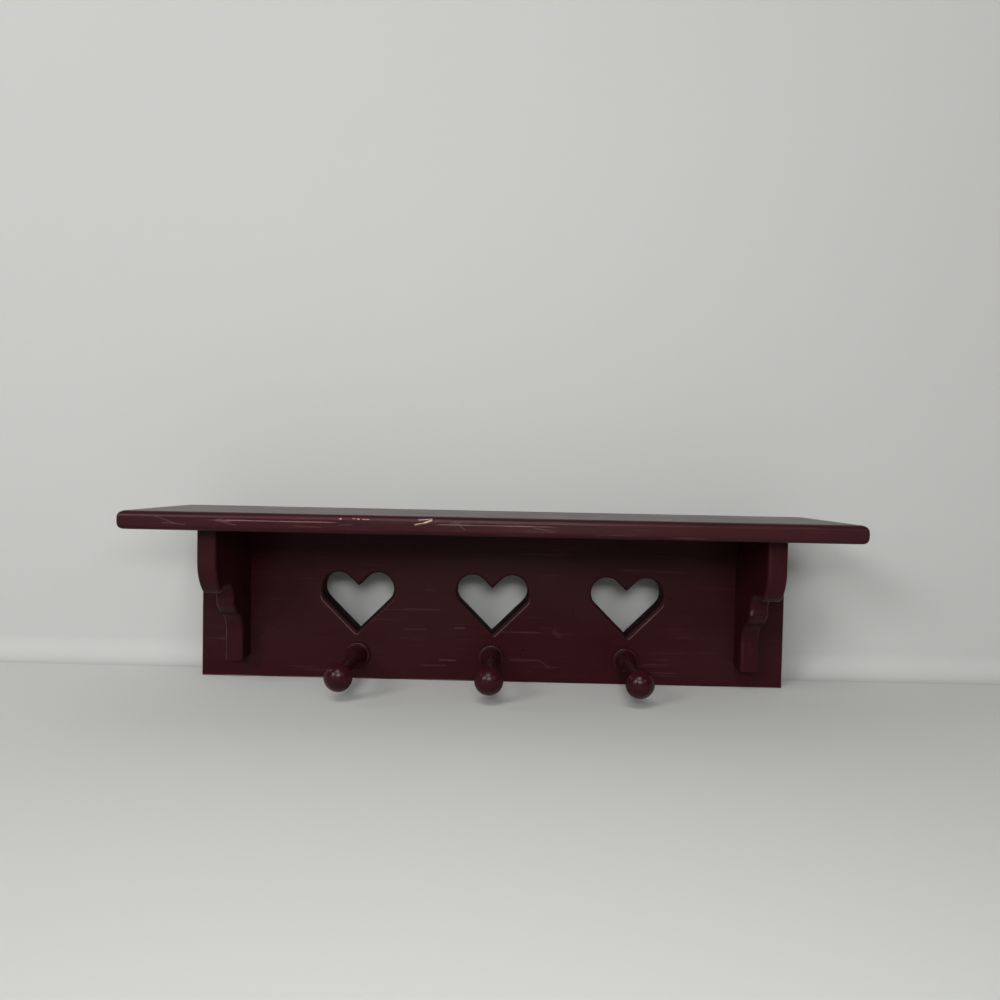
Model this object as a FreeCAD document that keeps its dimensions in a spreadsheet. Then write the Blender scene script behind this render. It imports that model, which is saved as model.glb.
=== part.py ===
"""Wall shelf with three turned pegs below three heart cut-outs, in painted wood.

The shelf board lies on a back board and on two scroll-cut brackets. They meet in plain butt
joints, glued and held by brads, and the pegs are glued on round tenons. The back board hangs
on two wall screws in keyholes cut into its back. Every piece is its own solid.

Frame: +X to the right along the shelf, +Y into the wall, +Z up. The origin is on the wall
face, at the middle of the length and at the height of the wall screws. All sizes are in mm.
"""
import FreeCAD, Part
import Sketcher
import math
import os
import re

V = FreeCAD.Vector

# Driving dimensions. A share is a part of the size named in its comment.
SIZES = {
    # shelf board
    "shelf_length": 609.6,
    "shelf_depth": 127.0,
    "shelf_thick": 15.5,
    "shelf_overhang": 25.4,
    "shelf_top_round": 7.0,
    "shelf_bottom_round": 4.5,
    "shelf_corner_extra": 1.5,
    # most of the shelf's thickness that each rounding may take
    "top_round_limit_share": 0.58,
    "bottom_round_limit_share": 0.38,
    # back board, and how far its top lies above the wall screws
    "board_height": 148.5,
    "board_thick": 15.5,
    "board_ease": 1.8,
    "hang_rise": 29.5,
    # heart cut-outs
    "heart_pitch": 128.8,
    "heart_lobe_radius": 15.0,
    "heart_lobe_offset": 19.0,
    "heart_round": 3.2,
    "heart_to_collar": 11.7,
    # brackets
    "bracket_inset": 30.4,
    "bracket_setback": 25.0,
    "bracket_foot_rise": 20.0,
    "bracket_thick": 16.5,
    "bracket_ease": 1.5,
    "nose_radius": 2.0,
    # points of the scroll, reaches as shares of the bracket's reach, drops of its height
    "lobe_start_share": 0.214,
    "tip_reach_share": 0.838,
    "tip_drop_share": 0.444,
    "nose_reach_share": 0.502,
    "cove_drop_share": 0.521,
    "nose_drop_share": 0.553,
    "ogee_reach_share": 0.366,
    "ogee_drop_share": 0.638,
    "leg_reach_share": 0.231,
    "leg_drop_share": 0.8,
    # pegs
    "peg_rise": 23.3,
    "tenon_radius": 6.35,
    "tenon_backing": 3.0,
    "collar_radius": 12.7,
    "collar_thick": 3.0,
    "collar_ease": 1.0,
    "foot_radius": 9.2,
    "cove_run": 21.0,
    "neck_radius": 6.3,
    "head_reach": 81.4,
    "head_radius": 12.0,
    "head_back": 9.0,
    "head_dome": 9.1,
    # brads, slim nails with a flat shank and a head that is wide one way only
    "brad_length": 32.0,
    "brad_width": 1.3,
    "brad_thick": 1.1,
    "brad_head_width": 2.2,
    "brad_head_height": 1.0,
    "brad_point": 2.0,
    # brads down through the shelf, in from the bracket's inner face or out from the board
    "shelf_brad_inset": 12.5,
    "bracket_brad_reach": 22.0,
    "bracket_brad_pitch": 40.0,
    # brads from behind the board into the brackets
    "back_brad_top_drop": 18.0,
    "back_brad_foot_rise": 16.0,
    # keyholes, their inset measured from the inner face of the bracket; the lip holds the
    # head of the wall screw, and the floor is the wood left in front of it
    "keyhole_inset": 29.3,
    "key_hole_radius": 4.75,
    "key_slot_radius": 2.25,
    "key_travel": 13.0,
    "key_lip": 3.0,
    "key_floor": 5.7,
    # clearance of one piece in another
    "seat_gap": 0.1,
}

# Part of the seat gap within which two places count as the same
SAME_SHARE = 0.01

# Sizes worked out from the ones above, as expressions in their names
HALF_SHELF = "(shelf_length / 2)"
TOP_ROUND = "min(shelf_top_round; shelf_thick * top_round_limit_share)"
BOTTOM_ROUND = "min(shelf_bottom_round; shelf_thick * bottom_round_limit_share)"
CORNER_RADIUS = "(shelf_top_round + shelf_corner_extra)"
HALF_BOARD = "(shelf_length / 2 - shelf_overhang)"
HALF_CLEAR = f"({HALF_BOARD} - bracket_inset - bracket_thick)"
BRACKET_PLACE = f"({HALF_CLEAR} + bracket_thick / 2)"
BRACKET_REACH = "(shelf_depth - board_thick - bracket_setback)"
BRACKET_HEIGHT = "(board_height - bracket_foot_rise)"
HEART_STRAIGHT = "(heart_lobe_radius / sqrt(2))"
PEG_DROP = "(board_height - peg_rise)"
TIP_DROP = f"({PEG_DROP} - collar_radius - heart_to_collar)"
HEART_DROP = f"({TIP_DROP} - heart_lobe_offset - 2 * {HEART_STRAIGHT})"
TENON_LENGTH = "(board_thick - tenon_backing)"
BRAD_HOLE = "(brad_width + seat_gap)", "(brad_thick + seat_gap)"
BRAD_HEAD_HOLE = "(brad_head_width + seat_gap)", "(brad_thick + seat_gap)"
SHELF_BRAD_PLACE = f"({HALF_CLEAR} - shelf_brad_inset)"
KEYHOLE_PLACE = f"({HALF_CLEAR} - keyhole_inset)"

# Heights above the wall screws
SHELF_UNDERSIDE = "hang_rise"
SHELF_TOP = "(hang_rise + shelf_thick)"

SIDES = {"left": -1, "right": 1}
PEG_MIDDLES = [f"{number} * heart_pitch" for number in (-1, 0, 1)]

doc = FreeCAD.newDocument("PegShelf")
sheet = doc.addObject("Spreadsheet::Sheet", "Sizes")
for row, (alias, size) in enumerate(SIZES.items(), 1):
    sheet.set(f"A{row}", alias)
    sheet.set(f"B{row}", str(size))
    sheet.setAlias(f"B{row}", alias)
doc.recompute()


def value(expression):
    """The number that an expression in the sheet's names comes to."""
    return float(sheet.evalExpression(str(expression)))


def cells(expression):
    """The same expression with the sheet named before each size, as other objects need it."""
    return re.sub(r"[a-z_]+", lambda found: qualified(found.group()), str(expression))


def qualified(word):
    """A size's name with its sheet; any other word, such as sqrt, as it is."""
    return f"Sizes.{word}" if word in SIZES else word


def bind(item, name, expression):
    """Set a property by an expression in the sheet's names."""
    item.setExpression(name, cells(expression))


def place(item, x="0", y="0", z="0"):
    """Put a piece at a point written in the sheet's names."""
    item.Placement = FreeCAD.Placement(V(value(x), value(y), value(z)), FreeCAD.Rotation())
    for axis, expression in (("x", x), ("y", y), ("z", z)):
        bind(item, f"Placement.Base.{axis}", expression)


def new_body(label):
    """A body with its own label, which names its file."""
    body = doc.addObject("PartDesign::Body", label)
    body.Label = label
    return body


def new_sketch(body, plane, name, lift="0"):
    """A sketch on one of the body's own origin planes, or lifted off it."""
    sketch = body.newObject("Sketcher::SketchObject", f"{body.Name}_{name}")
    origin_planes = {item.Role: item for item in body.Origin.OriginFeatures}
    sketch.AttachmentSupport = [(origin_planes[plane], "")]
    sketch.MapMode = "FlatFace"
    bind(sketch, "AttachmentOffset.Base.z", lift)
    return sketch


def constrain(sketch, kind, where, expression):
    """A dimension of a sketch, bound to an expression in the sheet's names."""
    index = sketch.addConstraint(Sketcher.Constraint(kind, *where, value(expression)))
    bind(sketch, f"Constraints[{index}]", expression)


def arc_between(start, end, radius, way):
    """The shorter arc from start to end; way is 1 when it turns left, -1 when right."""
    chord = end - start
    reach = math.sqrt(max(radius**2 - chord.Length**2 / 4, 0))
    centre = (start + end) / 2 + V(-chord.y, chord.x, 0).normalize() * way * reach
    ends = (start, end) if way > 0 else (end, start)
    angles = [math.atan2(point.y - centre.y, point.x - centre.x) for point in ends]
    return Part.ArcOfCircle(Part.Circle(centre, V(0, 0, 1), radius), *angles)


def add_outline(sketch, corners):
    """A closed outline: (x, y) stands before a line, (x, y, radius, way) before an arc."""
    points = [V(value(corner[0]), value(corner[1]), 0) for corner in corners]
    pieces = []
    for index, corner in enumerate(corners):
        start, end = points[index], points[(index + 1) % len(points)]
        if len(corner) == 2:
            pieces.append((sketch.addGeometry(Part.LineSegment(start, end)), 1, 2))
            continue
        radius, way = corner[2:]
        item = sketch.addGeometry(arc_between(start, end, value(radius), way))
        pieces.append((item, 1, 2) if way > 0 else (item, 2, 1))
    for index, (item, first, last) in enumerate(pieces):
        following, its_first, _ = pieces[(index + 1) % len(pieces)]
        sketch.addConstraint(Sketcher.Constraint("Coincident", item, last, following, its_first))
    for corner, (item, first, _) in zip(corners, pieces):
        constrain(sketch, "DistanceX", (item, first), corner[0])
        constrain(sketch, "DistanceY", (item, first), corner[1])
        if len(corner) > 2:
            constrain(sketch, "Radius", (item,), corner[2])


def add_circles(sketch, places, radius):
    """Circles of one radius at points written in the sheet's names."""
    for x, y in places:
        item = sketch.addGeometry(Part.Circle(V(value(x), value(y), 0), V(0, 0, 1), value(radius)))
        constrain(sketch, "DistanceX", (item, 3), x)
        constrain(sketch, "DistanceY", (item, 3), y)
        constrain(sketch, "Radius", (item,), radius)


def rectangle(left, right, low, high):
    """Corners of an upright rectangle."""
    return [(left, low), (right, low), (right, high), (left, high)]


def pad(body, sketch, length, side="One side"):
    """Raise a sketch by a length."""
    feature = body.newObject("PartDesign::Pad", f"{sketch.Name}_pad")
    feature.Profile = sketch
    feature.SideType = side
    bind(feature, "Length", length)
    doc.recompute()


def pocket(body, sketch, depth, backwards=False):
    """Cut a sketch to a depth, and make sure that it took material away."""
    before = body.Shape.Volume
    feature = body.newObject("PartDesign::Pocket", f"{sketch.Name}_cut")
    feature.Profile = sketch
    feature.Reversed = backwards
    bind(feature, "Length", depth)
    doc.recompute()
    if not body.Shape.Volume < before:
        raise RuntimeError(f"{feature.Name} cuts nothing")


def brad_slots(body, plane, places, size, lift, name):
    """A sketch of the mouths of brad holes."""
    sketch = new_sketch(body, plane, name, lift)
    width, height = size
    for x, y in places:
        left, right = f"{x} - {width} / 2", f"{x} + {width} / 2"
        add_outline(sketch, rectangle(left, right, f"{y} - {height} / 2", f"{y} + {height} / 2"))
    return sketch


def brad_holes(body, plane, places, depth, lift="0", backwards=False):
    """Cut the holes for the shanks of brads."""
    sketch = brad_slots(body, plane, places, BRAD_HOLE, lift, f"brad_holes_{plane[:2]}")
    pocket(body, sketch, depth, backwards)


def brad_heads(body, plane, places, lift="0", backwards=False):
    """Cut the seats for the heads of brads."""
    sketch = brad_slots(body, plane, places, BRAD_HEAD_HOLE, lift, f"brad_heads_{plane[:2]}")
    pocket(body, sketch, "brad_head_height", backwards)


def turned(label, corners):
    """A body turned about the upright axis of its sketch from a half outline."""
    body = new_body(label)
    sketch = new_sketch(body, "XY_Plane", "half_outline")
    add_outline(sketch, corners)
    feature = body.newObject("PartDesign::Revolution", f"{label}_turning")
    feature.Profile = sketch
    feature.ReferenceAxis = (sketch, ["V_Axis"])
    doc.recompute()
    return body


def same(a, b):
    """Two places are the same within a small part of the seat gap."""
    return abs(a - b) < value("seat_gap") * SAME_SHARE


def edges_of(shape, wanted):
    """Names of the edges whose bounding box passes the test."""
    names = [f"Edge{n}" for n, edge in enumerate(shape.Edges, 1) if wanted(edge.BoundBox)]
    if not names:
        raise RuntimeError("no edge passes the test")
    return names


def round_edges(body, wanted, radius, name):
    """Round the edges of the body's last feature that pass the test."""
    base = body.Tip
    feature = body.newObject("PartDesign::Fillet", f"{body.Name}_{name}")
    feature.Base = (base, edges_of(base.Shape, wanted))
    bind(feature, "Radius", radius)
    doc.recompute()


def ease_edges(body, wanted, size, name):
    """Cut the edges of the body's last feature that pass the test at 45 degrees."""
    base = body.Tip
    feature = body.newObject("PartDesign::Chamfer", f"{body.Name}_{name}")
    feature.Base = (base, edges_of(base.Shape, wanted))
    bind(feature, "Size", size)
    doc.recompute()


def group(label, master, places):
    """One node of separate solids: copies of a piece at points written in the sheet's names."""
    copies = []
    for number, point in enumerate(places, 1):
        copy = doc.addObject("App::Link", f"{label}_{number}")
        copy.LinkedObject = master
        place(copy, *point)
        copies.append(copy)
    whole = doc.addObject("Part::Compound", label)
    whole.Label = label
    whole.Links = copies
    return whole


# Equal steps from one end to the other of a row of three or five, as shares of half the row
THREE_SHARES = (-1, 0, 1)
FIVE_SHARES = (-1, -0.5, 0, 0.5, 1)

# Places of the brads down through the shelf: along the back board, and into each bracket
BOARD_BRADS = [(f"{share} * {SHELF_BRAD_PLACE}", "-board_thick / 2") for share in FIVE_SHARES]
TOP_BRADS = [("0", f"-bracket_brad_reach - {n} * bracket_brad_pitch") for n in range(2)]
SHELF_BRADS = BOARD_BRADS + [
    (f"{side} * {BRACKET_PLACE}", f"{y} - board_thick") for side in SIDES.values() for _, y in TOP_BRADS]

# Places of the brads from behind into each bracket, and of all of them on the back board
BACK_BRAD_MIDDLE = f"((back_brad_top_drop + {BRACKET_HEIGHT} - back_brad_foot_rise) / 2)"
BACK_BRAD_HALF_ROW = f"(({BRACKET_HEIGHT} - back_brad_foot_rise - back_brad_top_drop) / 2)"
BACK_BRADS = [("0", f"{share} * {BACK_BRAD_HALF_ROW} - {BACK_BRAD_MIDDLE}") for share in THREE_SHARES]
BEHIND_BRADS = [(f"{side} * {BRACKET_PLACE}", z) for side in SIDES.values() for _, z in BACK_BRADS]


def make_shelf():
    """Shelf board: rounded along the front and both ends."""
    body = new_body("shelf_board")
    sketch = new_sketch(body, "XY_Plane", "outline")
    add_outline(sketch, [
        (f"-{HALF_SHELF}", "0"),
        (f"-{HALF_SHELF}", f"{CORNER_RADIUS} - shelf_depth", CORNER_RADIUS, 1),
        (f"{CORNER_RADIUS} - {HALF_SHELF}", "-shelf_depth"),
        (f"{HALF_SHELF} - {CORNER_RADIUS}", "-shelf_depth", CORNER_RADIUS, 1),
        (HALF_SHELF, f"{CORNER_RADIUS} - shelf_depth"),
        (HALF_SHELF, "0"),
    ])
    pad(body, sketch, "shelf_thick")

    def rim(height):
        return lambda box: same(box.ZMin, height) and same(box.ZMax, height) and not same(box.YMin, 0)

    round_edges(body, rim(value("shelf_thick")), TOP_ROUND, "top_rounding")
    round_edges(body, rim(0), BOTTOM_ROUND, "bottom_rounding")
    brad_holes(body, "XY_Plane", SHELF_BRADS, "shelf_thick", "shelf_thick")
    brad_heads(body, "XY_Plane", SHELF_BRADS, "shelf_thick")
    place(body, z=SHELF_UNDERSIDE)
    return body


def heart(middle):
    """A heart: straight sides at 45 degrees that meet in a point, and half-round lobes."""
    lobe_in = f"heart_lobe_offset - {HEART_STRAIGHT}"
    lobe_out = f"heart_lobe_offset + {HEART_STRAIGHT}"
    high, low = f"{HEART_STRAIGHT} - {HEART_DROP}", f"-{HEART_STRAIGHT} - {HEART_DROP}"
    notch = f"-{HEART_DROP} - heart_lobe_offset + 2 * {HEART_STRAIGHT}"
    lobe = ("heart_lobe_radius", 1)
    return [
        (middle, notch),
        (f"{middle} - ({lobe_in})", high, *lobe),
        (f"{middle} - ({lobe_out})", high, *lobe),
        (f"{middle} - ({lobe_out})", low),
        (middle, f"-{TIP_DROP}"),
        (f"{middle} + {lobe_out}", low, *lobe),
        (f"{middle} + {lobe_out}", high, *lobe),
        (f"{middle} + {lobe_in}", high),
    ]


def keyhole(middle):
    """A keyhole: an entry hole with a slot above it that ends in a half circle."""
    slot, hole = "key_slot_radius", "key_hole_radius"
    top, low = "-hang_rise", "-hang_rise - key_travel"
    shoulder = f"sqrt({hole} ^ 2 - {slot} ^ 2)"
    return [
        (f"{middle} + {slot}", top, slot, 1),
        (middle, f"{top} + {slot}", slot, 1),
        (f"{middle} - {slot}", top),
        (f"{middle} - {slot}", f"{low} + {shoulder}", hole, 1),
        (f"{middle} - {hole}", low, hole, 1),
        (middle, f"{low} - {hole}", hole, 1),
        (f"{middle} + {hole}", low, hole, 1),
        (f"{middle} + {slot}", f"{low} + {shoulder}"),
    ]


def head_run(middle):
    """The wider run behind the lip of a keyhole, where the wall screw's head slides."""
    hole, top, low = "key_hole_radius", "-hang_rise", "-hang_rise - key_travel"
    return [
        (f"{middle} + {hole}", top, hole, 1),
        (middle, f"{top} + {hole}", hole, 1),
        (f"{middle} - {hole}", top),
        (f"{middle} - {hole}", low, hole, 1),
        (middle, f"{low} - {hole}", hole, 1),
        (f"{middle} + {hole}", low),
    ]


def make_back_board():
    """Back board: three hearts rounded in front, peg bores, and keyholes cut in from behind."""
    body = new_body("back_board")
    sketch = new_sketch(body, "XZ_Plane", "outline")
    add_outline(sketch, rectangle(f"-{HALF_BOARD}", HALF_BOARD, "-board_height", "0"))
    for middle in PEG_MIDDLES:
        add_outline(sketch, heart(middle))
    pad(body, sketch, "board_thick")

    face, foot, half = -value("board_thick"), -value("board_height"), value(HALF_BOARD)

    def in_face(box):
        return same(box.YMin, face) and same(box.YMax, face)

    def outer(box):
        upright = same(box.XMin, box.XMax) and same(abs(box.XMin), half)
        return same(box.ZMax, foot) or same(box.ZMin, 0) or upright

    def heart_front(box):
        return in_face(box) and not outer(box)

    def exposed(box):
        return in_face(box) and outer(box) and not same(box.ZMin, 0)

    round_edges(body, heart_front, "heart_round", "heart_rounding")
    round_edges(body, exposed, "board_ease", "easing")

    bores = new_sketch(body, "XZ_Plane", "peg_bores", "board_thick")
    places = [(middle, f"-{PEG_DROP}") for middle in PEG_MIDDLES]
    add_circles(bores, places, "tenon_radius + seat_gap / 2")
    pocket(body, bores, f"{TENON_LENGTH} + seat_gap")

    brad_holes(body, "XY_Plane", BOARD_BRADS, "brad_length - shelf_thick + seat_gap")
    brad_holes(body, "XZ_Plane", BEHIND_BRADS, "board_thick", backwards=True)
    brad_heads(body, "XZ_Plane", BEHIND_BRADS, backwards=True)

    keyholes = new_sketch(body, "XZ_Plane", "keyholes")
    head_runs = new_sketch(body, "XZ_Plane", "head_runs", "key_lip")
    for side in SIDES.values():
        add_outline(keyholes, keyhole(f"{side} * {KEYHOLE_PLACE}"))
        add_outline(head_runs, head_run(f"{side} * {KEYHOLE_PLACE}"))
    pocket(body, keyholes, "key_lip", backwards=True)
    pocket(body, head_runs, "board_thick - key_floor - key_lip", backwards=True)
    place(body, z=SHELF_UNDERSIDE)
    return body


def on_scroll(name):
    """A named point of the scroll, from its shares of the bracket's reach and height."""
    return f"-{BRACKET_REACH} * {name}_reach_share", f"-{BRACKET_HEIGHT} * {name}_drop_share"


def span(start, end):
    """How far in and how far down one point of the scroll lies from another."""
    return f"({end[0]} - ({start[0]}))", f"({start[1]} - ({end[1]}))"


def upright_radius(across, along):
    """Radius of an arc over a span that is upright at one of its ends."""
    return f"(({across} ^ 2 + {along} ^ 2) / (2 * {across}))"


def scroll():
    """Side outline of a bracket: a lobe that ends in a tip, a cove, a nose, an ogee and a slim leg."""
    tip, nose, ogee, leg = (on_scroll(name) for name in ("tip", "nose", "ogee", "leg"))
    start = f"-{BRACKET_REACH}", f"-{BRACKET_HEIGHT} * lobe_start_share"
    cove_end = nose[0], f"-{BRACKET_HEIGHT} * cove_drop_share"
    # the foot arc runs out upright into the leg, and the arc above runs smoothly into it
    in_top, down_top = span(nose, ogee)
    in_foot, down_foot = span(ogee, leg)
    turn = f"(2 * atan({in_foot} / {down_foot}) - atan({in_top} / {down_top}))"
    top_radius = f"(sqrt({in_top} ^ 2 + {down_top} ^ 2) / (2 * sin({turn})))"
    return [
        ("0", "0"),
        (f"-{BRACKET_REACH}", "0"),
        (*start, upright_radius(*span(start, tip)), 1),
        (*tip, upright_radius(*span(tip, cove_end)), -1),
        cove_end,
        (*nose, top_radius, 1),
        (*ogee, upright_radius(in_foot, down_foot), -1),
        leg,
        (leg[0], f"-{BRACKET_HEIGHT}"),
        ("0", f"-{BRACKET_HEIGHT}"),
    ]


def make_bracket(label, side):
    """Bracket: a scroll-cut board on edge, with its sawn edges eased on both sides."""
    body = new_body(label)
    sketch = new_sketch(body, "YZ_Plane", "outline")
    add_outline(sketch, scroll())
    pad(body, sketch, "bracket_thick", "Symmetric")
    half = value("bracket_thick") / 2
    nose_y, nose_z = (value(place) for place in on_scroll("nose"))

    def across_nose(box):
        crosses = same(box.YMin, box.YMax) and same(box.ZMin, box.ZMax)
        return crosses and same(box.YMin, nose_y) and same(box.ZMin, nose_z)

    def front(box):
        flat = same(box.XMin, box.XMax) and same(abs(box.XMin), half)
        return flat and not same(box.ZMin, 0) and not same(box.YMin, 0)

    round_edges(body, across_nose, "nose_radius", "nose_rounding")
    ease_edges(body, front, "bracket_ease", "easing")
    brad_holes(body, "XY_Plane", TOP_BRADS, "brad_length - shelf_thick + seat_gap")
    brad_holes(body, "XZ_Plane", BACK_BRADS, "brad_length - board_thick + seat_gap", backwards=True)
    place(body, f"{side} * {BRACKET_PLACE}", "-board_thick", SHELF_UNDERSIDE)
    return body


def make_pegs():
    """Pegs: a tenon in the board, a collar on its face, a coved neck and a domed head."""
    cove_step = "(foot_radius - neck_radius)"
    cove = f"((cove_run ^ 2 + {cove_step} ^ 2) / (2 * {cove_step}))"
    dome = "((head_radius ^ 2 + head_dome ^ 2) / (2 * head_dome))"
    peg = turned("peg", [
        ("0", TENON_LENGTH),
        ("0", "-head_reach - head_dome", dome, 1),
        ("head_radius", "-head_reach"),
        ("neck_radius", "head_back - head_reach"),
        ("neck_radius", "-collar_thick - cove_run", cove, -1),
        ("foot_radius", "-collar_thick"),
        ("collar_radius - collar_ease", "-collar_thick"),
        ("collar_radius", "collar_ease - collar_thick"),
        ("collar_radius", "0"),
        ("tenon_radius", "0"),
        ("tenon_radius", TENON_LENGTH),
    ])
    height = f"{SHELF_UNDERSIDE} - {PEG_DROP}"
    return group("pegs", peg, [(middle, "-board_thick", height) for middle in PEG_MIDDLES])


def make_brads(label, plane, places):
    """Brads: a flat shank with a chisel point below a T-shaped head."""
    body = new_body(f"{label}_one")
    sketch = new_sketch(body, plane, "outline")
    neck, point = "-brad_head_height", "brad_point - brad_length"
    add_outline(sketch, [
        ("-brad_head_width / 2", "0"),
        ("-brad_head_width / 2", neck),
        ("-brad_width / 2", neck),
        ("-brad_width / 2", point),
        ("0", "-brad_length"),
        ("brad_width / 2", point),
        ("brad_width / 2", neck),
        ("brad_head_width / 2", neck),
        ("brad_head_width / 2", "0"),
    ])
    pad(body, sketch, "brad_thick", "Symmetric")
    return group(label, body, places)


def make_shelf_brads():
    """Brads down through the shelf into the back board and the brackets."""
    return make_brads("shelf_brads", "XZ_Plane", [(x, y, SHELF_TOP) for x, y in SHELF_BRADS])


def make_back_brads():
    """Brads from behind the back board into the brackets."""
    places = [(x, "0", f"{SHELF_UNDERSIDE} + {z}") for x, z in BEHIND_BRADS]
    return make_brads("back_brads", "XY_Plane", places)


def check(item):
    """Stop with a plain message if an object failed."""
    if {"Invalid", "Error"} & set(item.State):
        raise RuntimeError(f"{item.Label} failed: {item.State}")


NODES = [make_shelf(), make_back_board()]
NODES += [make_bracket(f"bracket_{name}", side) for name, side in SIDES.items()]
NODES += [make_pegs(), make_shelf_brads(), make_back_brads()]

doc.recompute()
for thing in doc.Objects:
    check(thing)
for node in NODES:
    if node.Shape.isNull() or not node.Shape.isValid():
        raise RuntimeError(f"{node.Label} has no valid shape")

os.makedirs("parts", exist_ok=True)
for node in NODES:
    node.Shape.exportStep(f"parts/{node.Label}.step")
    print(f"{node.Label}: solids {len(node.Shape.Solids)}, volume {node.Shape.Volume:.0f} cubic mm")
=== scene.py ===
"""Painted wall shelf with turned pegs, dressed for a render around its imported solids."""
import math

import bmesh
import bpy
from bpy.props import FloatProperty, FloatVectorProperty, PointerProperty
from mathutils import Matrix, Vector, noise
from mathutils.geometry import delaunay_2d_cdt


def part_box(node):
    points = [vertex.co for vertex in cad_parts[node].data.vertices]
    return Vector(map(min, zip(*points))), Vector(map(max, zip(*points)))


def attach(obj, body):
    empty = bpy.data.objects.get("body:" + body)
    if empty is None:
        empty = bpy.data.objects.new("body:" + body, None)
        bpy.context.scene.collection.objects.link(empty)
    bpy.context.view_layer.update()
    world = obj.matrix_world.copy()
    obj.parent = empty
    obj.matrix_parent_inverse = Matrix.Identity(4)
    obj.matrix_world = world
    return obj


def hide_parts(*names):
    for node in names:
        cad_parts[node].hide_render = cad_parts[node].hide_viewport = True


bl_info = {
    "name": "Peg shelf",
    "version": (1, 0, 0),
    "blender": (4, 5, 0),
    "location": "View3D > Sidebar > Peg shelf",
    "description": "Dresses a painted wall shelf with three hearts and three turned pegs",
    "category": "Object",
}

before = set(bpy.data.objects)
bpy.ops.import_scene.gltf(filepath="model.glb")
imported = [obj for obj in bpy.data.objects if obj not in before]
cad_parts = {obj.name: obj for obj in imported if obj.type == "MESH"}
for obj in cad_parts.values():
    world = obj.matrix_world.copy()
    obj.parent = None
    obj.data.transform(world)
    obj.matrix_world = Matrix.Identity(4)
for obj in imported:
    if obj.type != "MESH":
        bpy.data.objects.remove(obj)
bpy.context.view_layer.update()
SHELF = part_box("shelf_board")
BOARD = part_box("back_board")
BRACKETS = {side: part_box(f"bracket_{side}") for side in ("left", "right")}
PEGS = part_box("pegs")

# How far the left and right lower edges of each heart are eased, as a share of the full rounding
EASED = {"left": (1.0, 0.75), "middle": (0.4, 1.0), "right": (0.45, 1.0)}

# How far down each bracket the tip of its lobe lies, as a share of the bracket's height
TIPS = {"left": 0.444, "right": 0.418}

# Places along the length shared by the hearts and the pegs
PITCH = 0.1288
MIDDLES = {"left": -PITCH, "middle": 0.0, "right": PITCH}

# Where the back board's front face and the row of brads over it lie along Y, and the row's end gap
BOARD_FACE = -0.0155
BRAD_LINE = -0.00775
BRAD_END_GAP = 0.0125
# How far before and below the back board's face and top the brackets' brads stand
BRAD_REACHES = (0.022, 0.062)
BRAD_DROPS = (0.018, 0.06525, 0.1125)
# Width and height of the mouth over a brad's head, and its depth
HEAD_MOUTH = (0.0023, 0.0012)
MOUTH_DEPTH = 0.0012

# A heart: radius of its lobes, how far they lie from its middle, and how far below the board's top
LOBE_RADIUS = 0.015
LOBE_OFFSET = 0.019
LOBE_DROP = 0.0606066
# A keyhole: half width of its slot, radius of its hole, half width of the run behind it, the drop from
# hole to slot, the keyholes' distance from the middle, and the depths of the lip and of the run
SLOT_HALF = 0.00225
HOLE_RADIUS = 0.0047
RUN_HALF = 0.00475
TRAVEL = 0.013
KEYHOLE_AT = 0.2032
LIP_DEPTH = 0.003
RUN_DEPTH = 0.0098

# Length left for the shelf's corners, and the steps of the mesh along its front
CORNER_ROOM = 0.009
PLAIN_STEP = 0.0024
CHIPPED_STEP = 0.0006
CHIPPED = ((-0.068, -0.018), (-0.122, -0.092))
# Where the paint of the shelf's rounding is rubbed through, in degrees round it, and how far to each side;
# this light line is partly wear and partly a painted highlight
RUB_HIGHLIGHT_ANGLE = 84
RUB_HIGHLIGHT_REACH = 8
# The paint's roughness changes between these two depths below the shelf's top
SHEEN_BAND = (0.0016, 0.0002)
# Flat rim that is meshed beside each rounding, and where along the length the shelf's ends begin
RIM = 0.0008
END_ZONE = 0.29
# Closeness and depth of the dents along the shelf's worn line, and the depth of its chips
DENT_SCALE = 45.0
DENT_DEPTH = 0.00018
CHIP_DEPTH = 0.0006

# Rounds at the tip and at the nose of a bracket, the room that each takes from the arcs beside it, and
# the share of wear on its inner arrises, which lie in shade; the outer arrises' full rubbed line is partly
# wear and partly a painted glint
TIP_ROUND = 0.0013
NOSE_ROUND = 0.003
TIP_ROOM = 0.0036
NOSE_ROOM = 0.0022
INNER_WEAR_IN_SHADE = 0.35

# Points around each peg
AROUND = 72


# Sizes and colours
def length(name, default, description):
    """A length that a user may change."""
    return FloatProperty(name=name, description=description, default=default, min=0.0,
                         subtype="DISTANCE", unit="LENGTH", precision=5)


def colour(name, default, description):
    """A colour that a user may change."""
    return FloatVectorProperty(name=name, description=description, default=default,
                               size=3, min=0.0, max=1.0, subtype="COLOR")


def share(name, default, description):
    """A number from 0 to 1 that a user may change."""
    return FloatProperty(name=name, description=description, default=default,
                         min=0.0, max=1.0, subtype="FACTOR")


class PegShelfSizes(bpy.types.PropertyGroup):
    """Sizes of the shaping that the solids only hint at."""
    end_top_round: length("End top rounding", 0.007, "Radius along the top of the shelf's ends")
    end_low_round: length("End bottom rounding", 0.0062, "Radius along the bottom of the shelf's ends")
    front_top_round: length("Front top rounding", 0.0048, "Radius along the top of the shelf's front")
    front_low_round: length("Front bottom rounding", 0.0042, "Radius along the bottom of the shelf's front")
    shelf_corner: length("Shelf corner", 0.0025, "Radius of the shelf's front corners seen from above")
    heart_round: length("Heart rounding", 0.0048, "Radius of the rounding along the front of each heart")
    board_ease: length("Board easing", 0.0018, "Radius along the back board's sides and foot")
    bracket_ease: length("Bracket easing", 0.0020, "Radius along the brackets' outer arrises")
    bracket_inner: length("Bracket inner easing", 0.0028, "Radius along the brackets' inner arrises")


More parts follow.
